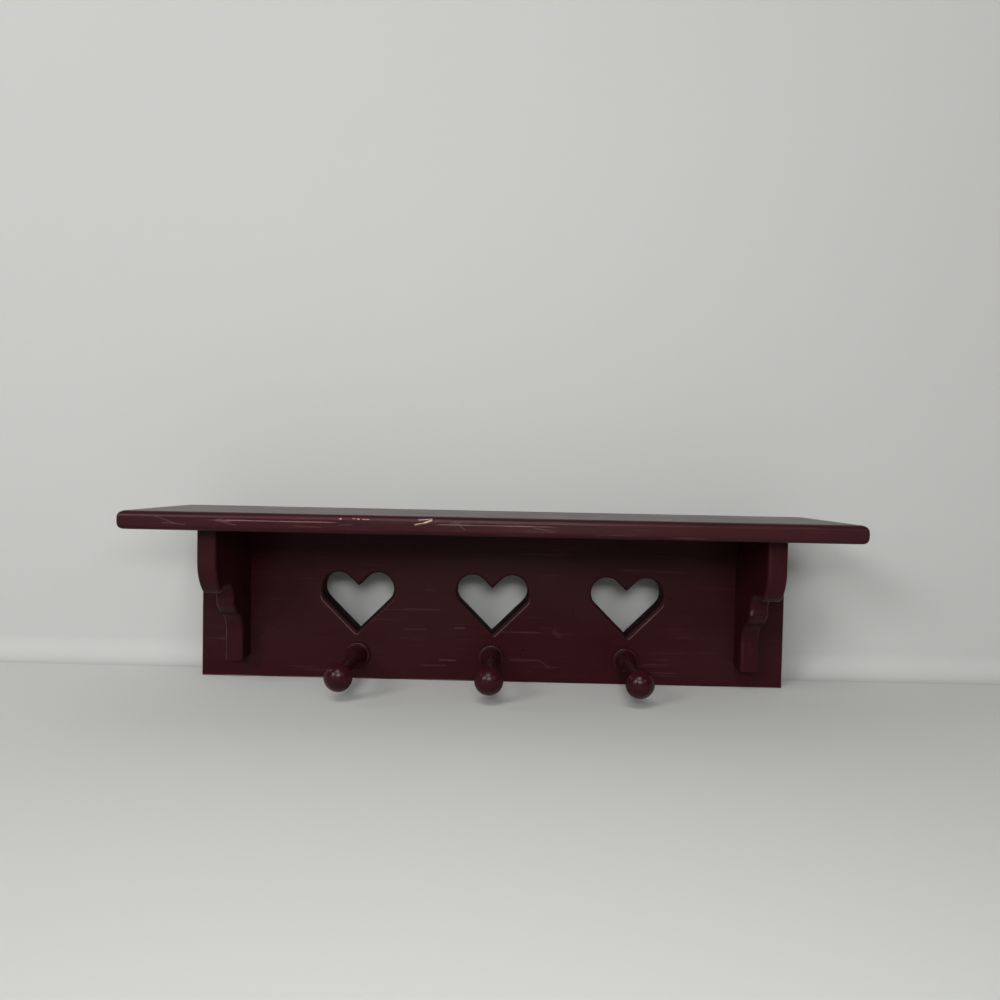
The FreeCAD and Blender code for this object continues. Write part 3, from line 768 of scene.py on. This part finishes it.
class PEGSHELF_OT_board(bpy.types.Operator):
    """Make the back board with its three hearts, its keyholes and its brad holes"""
    bl_idname = "pegshelf.board"
    bl_label = "Back board"

    def execute(self, context):
        sizes, finish = context.scene.peg_shelf_sizes, context.scene.peg_shelf_finish
        low, high = BOARD
        front, thick = low.y, high.y - low.y
        skin = Skin()

        def rows_of(points, moves, rings, shares=None):
            """Rows of points from the front to the back, each point eased by its own share."""
            shares = shares or [1.0] * len(points)
            rows = []
            for inset, depth, worn, sawn_shade in rings:
                flat = [p + m * inset * part for p, m, part in zip(points, moves, shares)]
                depths = [depth if depth > thick / 2 else depth * part for part in shares]
                wear = [worn * part for part in shares]
                rows.append(skin.row([(p.x, front + d, p.y) for p, d in zip(flat, depths)], wear, sawn_shade))
            skin.strips(rows)
            return rows

        steps = 60
        places = ((low.x, high.z), (low.x, low.z), (high.x, low.z), (high.x, high.z))
        corners = [Vector(place) for place in places]
        outline, moves = [], []
        ways = (Vector((1, 0)), Vector((1, 1)), Vector((-1, 1)), Vector((-1, 0)))
        for n in range(3):
            for k in range(steps):
                outline.append(corners[n].lerp(corners[n + 1], k / steps))
                ahead = (Vector((1, 0)), Vector((0, 1)), Vector((-1, 0)))[n]
                moves.append(ways[n] if k == 0 else ahead)
        outline.append(corners[3])
        moves.append(ways[3])
        ease = [(inset, depth, worn, 0.0) for inset, depth, worn in rounding(sizes.board_ease)]
        back = [(0.0, thick - 0.0008, 0.0, 0.0), (0.0, thick - 0.0003, 0.5, 0.0), (0.0003, thick, 0.5, 0.0)]
        borders = [rows_of(outline, moves, ease + back)]
        foot = [n for n, point in enumerate(outline) if point.y == low.z]
        for row in borders[0][:-3]:
            for n in foot:
                skin.wear[row[n]] *= 1.35 if outline[n].x < -0.02 else 1.1
        radius = sizes.heart_round
        # Rings of a heart's edge: inset, depth, wear and sawn wall, which the paint darkens as painted shade
        rings = [(radius + 0.0010, 0.0, 0.0, 0.0), (radius + 0.0005, 0.0, 1.3, 0.0)]
        rings.append((radius + 0.0002, 0.0003, 1.4, 0.0))
        for n in range(1, 10):
            angle = math.pi / 2 * n / 9
            rings.append((radius * (1 - math.sin(angle)), 0.0003 + radius * (1 - math.cos(angle)),
                          0.2 * math.sin(2 * angle), min(n / 3, 1.0)))
        rings += [(0.0, radius + 0.0012, 0.0, 1.0), (0.0, thick - 0.0008, 0.0, 1.0), (0.0, thick, 0.2, 1.0)]
        for side, middle in MIDDLES.items():
            points, moves = heart_loop(middle)
            borders.append(rows_of(points, moves, rings, [eased(move, *EASED[side]) for move in moves]))
        skin.cap([rows[0] for rows in borders], 1)

        holes = [rows[-1] for rows in borders]
        for side in (-1, 1):
            mouth, run = keyhole_loops(side * KEYHOLE_AT)
            upper = skin.row([(p.x, 0.0, p.y) for p in mouth])
            lip = skin.row([(p.x, -LIP_DEPTH, p.y) for p in mouth])
            wide = skin.row([(p.x, -LIP_DEPTH, p.y) for p in run])
            floor = skin.row([(p.x, -RUN_DEPTH, p.y) for p in run])
            skin.strip(upper, lip)
            skin.cap([wide, lip], 1)
            skin.strip(wide, floor)
            skin.cap([floor], 1)
            holes.append(upper)
        for middle in BACK_BRADS:
            mouth = slot_corners(middle, *HEAD_MOUTH)
            upper = skin.row([(p.x, 0.0, p.y) for p in mouth])
            lower = skin.row([(p.x, -MOUTH_DEPTH, p.y) for p in mouth])
            skin.strip(upper, lower)
            skin.cap([lower], 1)
            holes.append(upper)
        skin.cap(holes, 1)
        material = paint("board paint", finish, "x", (), DASHES, 0.8, 0.07)
        skin.made("back_board_painted", material, "painted_back", "back_board")
        return {"FINISHED"}


# Brackets
def scroll_outline(reach, height, tip_drop):
    """A bracket's side outline, and the radius of the round at its tip and at its nose."""
    def spot(out, down):
        return Vector((-reach * out, -height * down))

    def upright(first, last):
        run = last - first
        return run.length_squared / (2 * run.x)

    # Shares of the bracket's reach and height, read from its arrises in the photograph
    start, tip = spot(1.0, 0.214), spot(0.838, tip_drop)
    cove_end, nose = spot(0.502, 0.521), spot(0.502, 0.553)
    ogee, leg = spot(0.366, 0.638), spot(0.231, 0.8)
    top, foot = ogee - nose, leg - ogee
    bend = 2 * math.atan(foot.x / -foot.y) - math.atan(top.x / -top.y)
    upper = arc(nose, ogee, top.length / (2 * math.sin(bend)), 1, 24)
    lobe = arc(start, tip, upright(start, tip), 1, 36)
    cove = arc(tip, cove_end, upright(tip, cove_end), -1, 30)

    points = [spot(1.0, 0.214 * n / 8) for n in range(8)]
    points += [p for p in lobe if (p - tip).length > TIP_ROOM]
    rounds = {len(points): TIP_ROUND}
    points += [tip] + [p for p in cove if (p - tip).length > TIP_ROOM]
    rounds[len(points)] = NOSE_ROUND
    points += [nose] + [p for p in upper if (p - nose).length > NOSE_ROOM]
    points += arc(ogee, leg, upright(ogee, leg), -1, 24)[1:]
    points += [leg.lerp(spot(0.231, 1.0), n / 8) for n in range(1, 9)]
    return points + [spot(0.0, 1.0), spot(0.0, 0.0)], rounds


def spots(points, rounds, free):
    """Each point of an outline: place, move per unit of inset, how far it holds, the move beyond, wear."""
    found = []
    moves = mitres(points, free)
    for n, point in enumerate(points):
        if n not in rounds:
            found.append((point, moves[n], 1.0, moves[n], 0.0))
            continue
        radius = rounds[n]
        before, after = point - points[n - 1], points[n + 1] - point
        ends = [math.atan2(-run.x, run.y) for run in (before, after)]
        sweep = (ends[1] - ends[0] + math.pi) % (2 * math.pi) - math.pi
        centre = point + moves[n] * radius
        # The tip's round is rubbed strongly, partly wear and partly a painted highlight along it
        worn = 1.15 if radius < NOSE_ROUND else 0.3
        for k in range(9):
            angle = ends[0] + sweep * k / 8
            out = Vector((math.cos(angle), math.sin(angle)))
            found.append((centre + out * radius, -out, radius * 0.92, moves[n], worn))
    return found


class PEGSHELF_OT_brackets(bpy.types.Operator):
    """Make the two scroll-cut brackets with eased edges"""
    bl_idname = "pegshelf.brackets"
    bl_label = "Brackets"

    def execute(self, context):
        sizes, finish = context.scene.peg_shelf_sizes, context.scene.peg_shelf_finish
        material = paint("bracket paint", finish, "z", (), KNOCK_AND_GLINT, sheen=0.09)
        for side, (low, high) in BRACKETS.items():
            points, rounds = scroll_outline(high.y - low.y, high.z - low.z, TIPS[side])
            count = len(points)
            path = spots(points, rounds, lambda edge: edge >= count - 2)
            thick = high.x - low.x
            # Outer arrises take the full rubbed line, partly wear and partly a painted glint; inner arrises,
            # in shade, take only a share
            outer = rounding(sizes.bracket_ease)
            inner = [(inset, depth, worn * INNER_WEAR_IN_SHADE)
                     for inset, depth, worn in rounding(sizes.bracket_inner)]
            first, last = (outer, inner) if side == "left" else (inner, outer)
            rings = first + [(inset, thick - depth, worn) for inset, depth, worn in reversed(last)]
            skin = Skin()
            rows = []
            for inset, depth, worn in rings:
                flat = [point + move * min(inset, hold) + beyond * max(inset - hold, 0.0)
                        for point, move, hold, beyond, _ in path]
                wear = [max(worn, own) for *_, own in path]
                rows.append(skin.row([(low.x + depth, high.y + p.x, high.z + p.y) for p in flat], wear))
            skin.strips(rows)
            skin.cap([rows[0]], 0)
            skin.cap([rows[-1]], 0)
            skin.made(f"bracket_{side}_painted", material, "painted_bracket", f"bracket_{side}")
        return {"FINISHED"}


# Pegs
def peg_profile():
    """Half outline of a peg from its collar to the tip of its dome: radius, reach and wear."""
    def worn(points, amount):
        return [(p.x, p.y, amount) for p in points]

    outline = [(0.0, -0.0003, 0.0), (0.0122, -0.0003, 0.0), (0.0127, 0.0004, 0.2)]
    outline += worn(turn((0.0111, 0.0014), 0.0016, 0, 90, 8), 0.8)
    outline += worn(arc((0.0103, 0.0030), (0.0098, 0.0035), 0.0008, -1, 3), 0.0)
    outline += worn(arc((0.0098, 0.0035), (0.0063, 0.022), 0.052, 1, 20), 0.0)
    outline += [(0.0063, y, 0.0) for y in (0.035, 0.047, 0.059, 0.0690)]
    outline += worn(arc((0.0063, 0.0702), (0.0114, 0.0792), 0.013, -1, 10)[1:], 0.1)
    outline += worn(arc((0.0114, 0.0792), (0.0112, 0.0842), 0.0032, 1, 10)[1:], 0.45)
    outline += worn(arc((0.0112, 0.0842), (0.0, 0.0905), 0.0135, 1, 20)[1:], 0.1)
    return outline


class PEGSHELF_OT_pegs(bpy.types.Operator):
    """Turn the three pegs with collar, coved neck and domed head"""
    bl_idname = "pegshelf.pegs"
    bl_label = "Pegs"

    def execute(self, context):
        material = paint("peg paint", context.scene.peg_shelf_finish, "y", rub=0.7, sheen=0.13, dull=-0.08)
        face = BOARD[0].y
        height = (PEGS[0].z + PEGS[1].z) / 2
        for number, (side, middle) in enumerate(MIDDLES.items()):
            skin = Skin()
            rows = []
            for radius, reach, worn in peg_profile():
                if radius < 1e-6:
                    rows.append(skin.row([(middle, face - reach, height)] * AROUND, worn))
                    continue
                ring = []
                for n in range(AROUND):
                    angle = 2 * math.pi * n / AROUND
                    spot = Vector((math.cos(angle), math.sin(angle), reach * 40 + number * 7.0))
                    grown = radius * (1 - 0.006 * abs(noise.noise(spot)))
                    x, z = middle + grown * math.cos(angle), height + grown * math.sin(angle)
                    ring.append((x, face - reach, z))
                rows.append(skin.row(ring, worn))
            skin.strips(rows)
            skin.made(f"peg_{side}_painted", material, "painted_peg", "pegs")
        return {"FINISHED"}


# Brads
class PEGSHELF_OT_brads(bpy.types.Operator):
    """Finish the brads: painted over in the shelf's top, bright behind the back board"""
    bl_idname = "pegshelf.brads"
    bl_label = "Brads"

    def execute(self, context):
        finish = context.scene.peg_shelf_finish
        for node, painted in (("shelf_brads", True), ("back_brads", False)):
            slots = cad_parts[node].material_slots
            material = brad_wire(f"{node} wire", finish, painted)
            if not slots:
                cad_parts[node].data.materials.append(material)
            for slot in slots:
                slot.material = material
        return {"FINISHED"}


# Stage

# Where the wall stands behind the shelf, the radius of the bend at its foot, and how far floor and wall reach
WALL_AT = 0.038
BEND = 0.024
STAGE_REACH = 3.0
WALL_TOP = 3.5
# Tints of the lamps, and each lamp's name, place, target, size in metres, watts and tint
NEAR_WHITE = (1.0, 0.995, 0.985)
COOL_WHITE = (0.98, 0.995, 1.0)
WARM_WHITE = (1.0, 0.99, 0.97)
LAMPS = (
    ("front", (0.0, -2.6, 0.85), (0.0, 0.0, 0.0), (1.2, 0.5), 21.0, NEAR_WHITE),
    ("front left", (-1.6, -2.2, 1.1), (0.0, 0.0, 0.0), (0.8, 0.6), 28.0, NEAR_WHITE),
    ("low left", (-2.0, -2.2, 0.45), (0.0, 0.0, 0.0), (0.8, 0.5), 5.0, NEAR_WHITE),
    ("front right", (1.6, -2.2, 1.1), (0.0, 0.0, 0.0), (0.8, 0.6), 5.0, NEAR_WHITE),
    ("close", (0.02, -0.76, 0.216), (0.0, 0.0, -0.02), (0.24, 0.07), 1.2, NEAR_WHITE),
    ("ceiling", (-0.3, -2.2, 2.2), (0.0, -0.2, -0.1), (1.4, 1.0), 40.0, WARM_WHITE),
    ("window", (-1.6, -0.28, 0.95), (0.0, -0.1, -0.05), (0.3, 0.3), 3.6, COOL_WHITE),
)
# The camera's lens and sensor width in millimetres, its place, and its pitch, yaw and roll in degrees
LENS = 26.568
SENSOR = 36.0
CAMERA_AT = (0.01283, -0.72077, 0.07748)
CAMERA_TURN = (1.728, 0.587, 1.178)


def sheet(name, material, profile):
    """One sheet of the stage that follows a profile of (y, z) points across the stage's width."""
    rows = [[(side * STAGE_REACH, y, z) for y, z in profile] for side in (-1, 1)]
    count = len(profile)
    mesh = bpy.data.meshes.new(name)
    mesh.from_pydata(rows[0] + rows[1], [], [(n, n + count, n + count + 1, n + 1) for n in range(count - 1)])
    mesh.shade_smooth()
    mesh.materials.append(material)
    item = bpy.data.objects.new(name, mesh)
    bpy.context.collection.objects.link(item)


def soft_light(name, place, target, size, watts, tint):
    """A rectangular area lamp that points at a spot."""
    lamp = bpy.data.lights.new(name, "AREA")
    lamp.shape = "RECTANGLE"
    lamp.size, lamp.size_y = size
    lamp.energy = watts
    lamp.color = tint
    item = bpy.data.objects.new(name, lamp)
    item.location = place
    item.rotation_euler = (Vector(target) - Vector(place)).to_track_quat("-Z", "Y").to_euler()
    bpy.context.collection.objects.link(item)


class PEGSHELF_OT_stage(bpy.types.Operator):
    """Set up the pale floor and wall, the soft lamps, the world and the camera"""
    bl_idname = "pegshelf.stage"
    bl_label = "Stage"

    def execute(self, context):
        scene = context.scene
        scene.view_settings.view_transform = "Standard"
        floor = BOARD[0].z - 0.0002
        foot = WALL_AT - BEND
        curve = [(p.x, p.y) for p in turn((foot, floor + BEND), BEND, -90, 0, 16)]
        sheet("floor", plaster("pale floor", (0.505, 0.51, 0.50)), [(-STAGE_REACH, floor), (foot, floor)])
        sheet("wall", plaster("pale wall", (0.425, 0.43, 0.422)), [*curve, (WALL_AT, WALL_TOP)])

        scene.world = bpy.data.worlds.new("room")
        graph = Graph(scene.world)
        seen = graph.add("ShaderNodeLightPath", {}, {})["Is Camera Ray"]
        tint = graph.mix((0.01, 0.01, 0.0102), (0.50, 0.505, 0.50), seen)
        room = graph.add("ShaderNodeBackground", {}, {"Color": tint, "Strength": 1.0})
        graph.finish(room["Background"], "ShaderNodeOutputWorld")

        for lamp in LAMPS:
            soft_light(*lamp)

        data = bpy.data.cameras.new("camera")
        data.sensor_width = SENSOR
        data.lens = LENS
        data.clip_start, data.clip_end = 0.01, 50.0
        camera = bpy.data.objects.new("camera", data)
        camera.matrix_world = view_frame()
        context.collection.objects.link(camera)
        scene.camera = camera
        return {"FINISHED"}


def view_frame():
    """The camera's place and turn, fitted to the photograph's corners."""
    pitch, yaw, roll = (math.radians(angle) for angle in CAMERA_TURN)
    base = Matrix(((1, 0, 0), (0, 0, -1), (0, 1, 0)))
    cos_x, sin_x = math.cos(pitch), math.sin(pitch)
    cos_y, sin_y = math.cos(yaw), math.sin(yaw)
    cos_z, sin_z = math.cos(roll), math.sin(roll)
    about_x = Matrix(((1, 0, 0), (0, cos_x, -sin_x), (0, sin_x, cos_x)))
    about_y = Matrix(((cos_y, 0, sin_y), (0, 1, 0), (-sin_y, 0, cos_y)))
    about_z = Matrix(((cos_z, -sin_z, 0), (sin_z, cos_z, 0), (0, 0, 1)))
    rows = about_z @ about_y @ about_x @ base
    turned = Matrix((rows[0], -rows[1], -rows[2])).transposed()
    return Matrix.Translation(CAMERA_AT) @ turned.to_4x4()


# Add-on
class PEGSHELF_PT_panel(bpy.types.Panel):
    """Lists the steps that dress the shelf"""
    bl_idname = "PEGSHELF_PT_panel"
    bl_label = "Peg shelf"
    bl_space_type = "VIEW_3D"
    bl_region_type = "UI"
    bl_category = "Peg shelf"

    def draw(self, context):
        for group in (context.scene.peg_shelf_sizes, context.scene.peg_shelf_finish):
            box = self.layout.box()
            for name in group.__annotations__:
                box.prop(group, name)
        for step in STEPS:
            self.layout.operator(step.bl_idname)


STEPS = (PEGSHELF_OT_stage, PEGSHELF_OT_shelf, PEGSHELF_OT_board, PEGSHELF_OT_brackets,
         PEGSHELF_OT_pegs, PEGSHELF_OT_brads)
CLASSES = (PegShelfSizes, PegShelfFinish, *STEPS, PEGSHELF_PT_panel)


def register():
    """Add the classes and their settings to Blender."""
    for item in CLASSES:
        bpy.utils.register_class(item)
    bpy.types.Scene.peg_shelf_sizes = PointerProperty(type=PegShelfSizes)
    bpy.types.Scene.peg_shelf_finish = PointerProperty(type=PegShelfFinish)


def unregister():
    """Take the settings and the classes out of Blender again."""
    del bpy.types.Scene.peg_shelf_sizes
    del bpy.types.Scene.peg_shelf_finish
    for item in reversed(CLASSES):
        bpy.utils.unregister_class(item)


def main():
    """Register the add-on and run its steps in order."""
    register()
    bpy.ops.pegshelf.stage()
    bpy.ops.pegshelf.shelf()
    bpy.ops.pegshelf.board()
    bpy.ops.pegshelf.brackets()
    bpy.ops.pegshelf.pegs()
    bpy.ops.pegshelf.brads()


if __name__ == "__main__":
    main()
